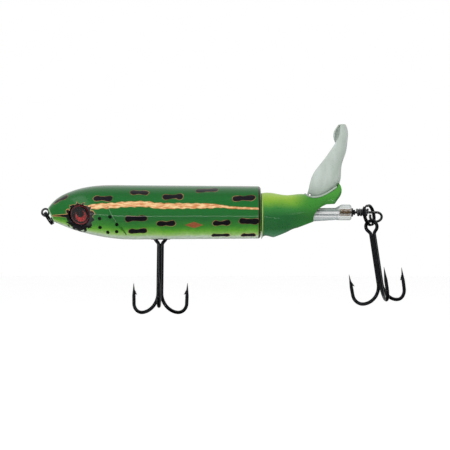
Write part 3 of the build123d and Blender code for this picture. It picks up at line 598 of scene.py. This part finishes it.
def eye_material():
    """A generic eye: black pupil in a streaked red iris, with dark and red rings round it and a
    painted highlight at the upper rear.
    """
    low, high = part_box("eye_disc_left")
    centre = (low + high) / 2 * PER_METRE
    g = Paint("eye_print", Coat_Weight=0.5, Coat_Roughness=0.1)
    left_y = g.math("MULTIPLY", g.math("ABSOLUTE", g.y), -1.0)
    offset = g.vmath("SUBTRACT", g.vector(g.x, left_y, g.z), tuple(centre))
    radius = g.vmath("LENGTH", offset)
    across, _, up = g.parts(offset)
    ray = g.math("SINE", g.math("MULTIPLY", g.math("ARCTAN2", up, across), IRIS_RAYS))
    ray = g.math("MULTIPLY_ADD", ray, 0.12, g.noise(1.2, 3.0))
    colour = EYE_DARK
    discs = [(IRIS, 0.3, g.mix(g.ranged(ray, 0.3, 0.75), *IRIS_REDS)),
             (PUPIL, 0.25, PUPIL_BLACK)]
    for (place, size), soft, shade in discs:
        colour = g.mix(g.below(g.vmath("DISTANCE", offset, place), size, soft), colour, shade)
    for middle, half, shade in EYE_RINGS:
        colour = g.mix(g.below(g.apart(radius, middle), half, 0.15), colour, shade)
    # painted highlight: a white spot at the upper rear of the iris
    place, size = EYE_HIGHLIGHT_SPOT
    highlight_mask = g.below(g.vmath("DISTANCE", offset, place), size, 0.2)
    g.colour(g.mix(highlight_mask, colour, EYE_HIGHLIGHT_WHITE))
    g.rough(g.spread(g.noise(1.5, 3.0), 0.25, 0.4))
    return g.material


def lens_material():
    """A clear dome: see-through, with its shine growing towards the rim."""
    g = Paint("eye_lens_clear", Coat_Weight=1.0, Coat_Roughness=0.02)
    g.colour(g.mix(g.noise(0.5, 2.0), *LENS_DARKS))
    g.rough(g.spread(g.noise(0.8, 3.0), 0.02, 0.06))
    sheen = g.node("ShaderNodeFresnel")
    sheen.inputs["IOR"].default_value = LENS_IOR
    g.alpha(g.math("MULTIPLY_ADD", sheen.outputs[0], *LENS_SHEEN))
    return g.material


# ---------------------------------------------------------------- metals and black plastic
def metal_material(name, dark, light, rough, stretch=(1.0, 1.0, 1.0), coat=0.0):
    """Metal with fine drawn or plated variation between a dark and a light grey (0-255)."""
    g = Paint(name, Metallic=1.0, Coat_Weight=coat, Coat_Roughness=0.08)
    fine = g.noise(3.0, 5.0, stretch)
    colour = g.mix(g.spread(fine), srgb(*dark), srgb(*light))
    g.colour(g.mix(g.ranged(g.noise(0.35, 2.0), 0.4, 0.7), colour, srgb(*dark), 0.35))
    g.rough(g.spread(fine, *rough))
    g.bump(fine, 0.08, 0.03)
    return g.material


def rubber_material():
    """Black moulded plastic."""
    g = Paint("black_plastic", Coat_Weight=0.3, Coat_Roughness=0.2)
    grain = g.noise(2.5, 4.0)
    g.colour(g.mix(grain, srgb(14, 14, 15), srgb(40, 40, 42)))
    g.rough(g.spread(grain, 0.3, 0.5))
    g.bump(grain, 0.1, 0.05)
    return g.material


BRASS = metal_material("brass", (206, 156, 78), (248, 212, 140), (0.3, 0.45), (0.1, 0.6, 0.6))
STEEL = metal_material("wire_steel", (120, 122, 124), (222, 224, 226), (0.2, 0.36),
                       (0.3, 2.0, 2.0))
HOOK_METAL = metal_material("black_nickel", (34, 35, 38), (78, 80, 86), (0.12, 0.3),
                            (1.0, 1.0, 0.4), coat=0.4)
BRIGHT = metal_material("bright_trim", (140, 142, 144), (214, 216, 218), (0.12, 0.26))
LENS = lens_material()

FINISHES = {
    hull_material(): ["body_shell_left", "body_shell_right"],
    tail_material(): ["tail_cone"],
    blade_material(): ["tail_blade"],
    sleeve_material(): ["tail_sleeve"],
    LENS: ["eye_lens_left", "eye_lens_right"],
    eye_material(): ["eye_disc_left", "eye_disc_right"],
    STEEL: ["line_tie_wire", "tail_shaft", "shaft_wraps", "hook_pin", "ballast_front",
            "ballast_rear", "rattle_ball"],
    HOOK_METAL: ["line_ring", "tail_ring", "belly_hook_double", "belly_hook_single",
                 "rear_hook_double", "rear_hook_single"],
    BRASS: ["hull_bush", "tail_bush_front", "tail_bush_rear"],
    rubber_material(): ["thrust_washer", "stop_washer", "stop_bead"],
    BRIGHT: ["pocket_bezel"],
}
for material, names in FINISHES.items():
    for name in names:
        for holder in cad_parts[name].material_slots:
            holder.material = material


# ---------------------------------------------------------------- eye domes
FLAT_BACK = -0.5                    # outward part of a normal, under which a face is the back
SAME_CORNER = 2e-6                  # corners closer than this are one


def dome_mesh(name, lens, outward):
    """The faces of a lens that are not its flat back, as one smooth skin."""
    kept = [face for face in lens.polygons if face.normal.y * outward > FLAT_BACK]
    used = sorted({corner for face in kept for corner in face.vertices})
    renumber = {corner: index for index, corner in enumerate(used)}
    points = [lens.vertices[corner].co.copy() for corner in used]
    faces = [[renumber[corner] for corner in face.vertices] for face in kept]
    mesh = bpy.data.meshes.new(name)
    mesh.from_pydata(points, [], faces)
    shared = bmesh.new()
    shared.from_mesh(mesh)
    bmesh.ops.remove_doubles(shared, verts=shared.verts, dist=SAME_CORNER)
    shared.to_mesh(mesh)
    shared.free()
    mesh.shade_smooth()
    return mesh


def add_dome(side, outward):
    """Stands for a lens, whose flat back would lie on the printed disc."""
    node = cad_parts["eye_lens_" + side]
    mesh = dome_mesh("eye_dome_" + side, node.data, outward)
    mesh.materials.append(LENS)
    dome = bpy.data.objects.new(mesh.name, mesh)
    bpy.context.scene.collection.objects.link(dome)
    dome.matrix_world = node.matrix_world
    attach(dome, "hull")
    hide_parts("eye_lens_" + side)


add_dome("left", -1.0)
add_dome("right", 1.0)


# ---------------------------------------------------------------- floor, light and camera
VIEW_CENTRE = Vector((0.07675, 0.0, -0.0054))
VIEW_WIDTH = 0.1924
LENS_MM = 120.0
SENSOR_MM = 36.0
CLIP_START = 0.01
FLOOR_Z = -0.13
FLOOR_REACH = 3.0
FLOOR_GLOW = 0.45
ROOM_DARK = 0.10                    # the room on the camera's side
ROOM_BRIGHT = 0.75                  # the white sweep behind
MIRRORED_DARK = 0.12                # the room overhead and in front, seen in reflections
MIRRORED_LOW = 0.12                 # share of the room's lower half seen in reflections
STRIP_SIDE = -0.5                   # the upright strip that only reflections show
STRIP_HALF = 0.08
STRIP_SOFT = 0.04
STRIP_GLOW = 0.7


def make_floor():
    """A plain pale floor well below the hanging hooks."""
    mesh = bpy.data.meshes.new("floor")
    sides = ((-1, -1), (1, -1), (1, 1), (-1, 1))
    corners = [(x * FLOOR_REACH, y * FLOOR_REACH, FLOOR_Z) for x, y in sides]
    mesh.from_pydata(corners, [], [(0, 1, 2, 3)])
    floor = bpy.data.objects.new("floor", mesh)
    bpy.context.scene.collection.objects.link(floor)
    g = Paint("floor_paper", Roughness=0.8, Emission_Color=(1.0, 1.0, 1.0, 1.0),
              Emission_Strength=FLOOR_GLOW)
    g.colour(g.mix(g.noise(0.02, 3.0), srgb(246, 246, 246), srgb(252, 252, 252)))
    mesh.materials.append(g.material)
    floor.visible_glossy = False


def make_light(name, place, width, height, power, mirrored):
    """A soft rectangular lamp aimed at the lure.  Shiny skin shows it only if mirrored."""
    lamp = bpy.data.lights.new(name, "AREA")
    lamp.shape = "RECTANGLE"
    lamp.size = width
    lamp.size_y = height
    lamp.energy = power
    holder = bpy.data.objects.new(name, lamp)
    holder.location = place
    holder.rotation_mode = "QUATERNION"
    holder.rotation_quaternion = (VIEW_CENTRE - Vector(place)).to_track_quat("-Z", "Y")
    holder.visible_glossy = mirrored
    bpy.context.scene.collection.objects.link(holder)


def make_world():
    """A white sweep behind, and a dim room in front with one pale strip for the metals."""
    world = bpy.data.worlds.new("studio")
    world.use_nodes = True
    g = Nodes(world.node_tree)
    background = g.tree.nodes["Background"]
    background.inputs["Color"].default_value = (1.0, 1.0, 1.0, 1.0)
    x, y, z = g.parts(g.node("ShaderNodeTexCoord").outputs["Generated"])
    ray = g.node("ShaderNodeLightPath").outputs
    lighting = g.ranged(y, -1.0, 0.3, ROOM_DARK, ROOM_BRIGHT, smooth=False)
    room = g.ranged(y, -0.1, 0.8, MIRRORED_DARK, ROOM_BRIGHT, smooth=False)
    low = g.ranged(z, -0.35, 0.15, MIRRORED_LOW, 1.0, smooth=False)
    strip = g.ranged(g.apart(x, STRIP_SIDE), STRIP_HALF, STRIP_HALF + STRIP_SOFT, STRIP_GLOW, 0.0,
                     smooth=False)
    strip = g.math("MULTIPLY", strip, g.ranged(y, -0.2, 0.0, 1.0, 0.0, smooth=False))
    mirrored = g.math("MULTIPLY_ADD", room, low, strip)
    seen = g.blend(ray["Is Glossy Ray"], lighting, mirrored)
    g.feed(background.inputs["Strength"], g.blend(ray["Is Camera Ray"], seen, 1.0))
    bpy.context.scene.world = world


def make_camera():
    """A long lens level with the spin axis, square to the lure's left side."""
    camera = bpy.data.cameras.new("camera")
    camera.lens = LENS_MM
    camera.sensor_width = SENSOR_MM
    camera.clip_start = CLIP_START
    holder = bpy.data.objects.new("camera", camera)
    distance = VIEW_WIDTH * LENS_MM / SENSOR_MM
    holder.location = VIEW_CENTRE + Vector((0, -distance, 0))
    holder.rotation_euler = (math.pi / 2, 0, 0)
    bpy.context.scene.collection.objects.link(holder)
    bpy.context.scene.camera = holder


make_floor()
make_world()
make_light("key", (-0.05, -0.50, 0.75), 0.6, 0.35, 6.0, mirrored=False)
make_light("strip", (0.077, -0.70, -0.21), 0.9, 0.012, 0.35, mirrored=True)
make_camera()
bpy.context.scene.view_settings.view_transform = "Standard"
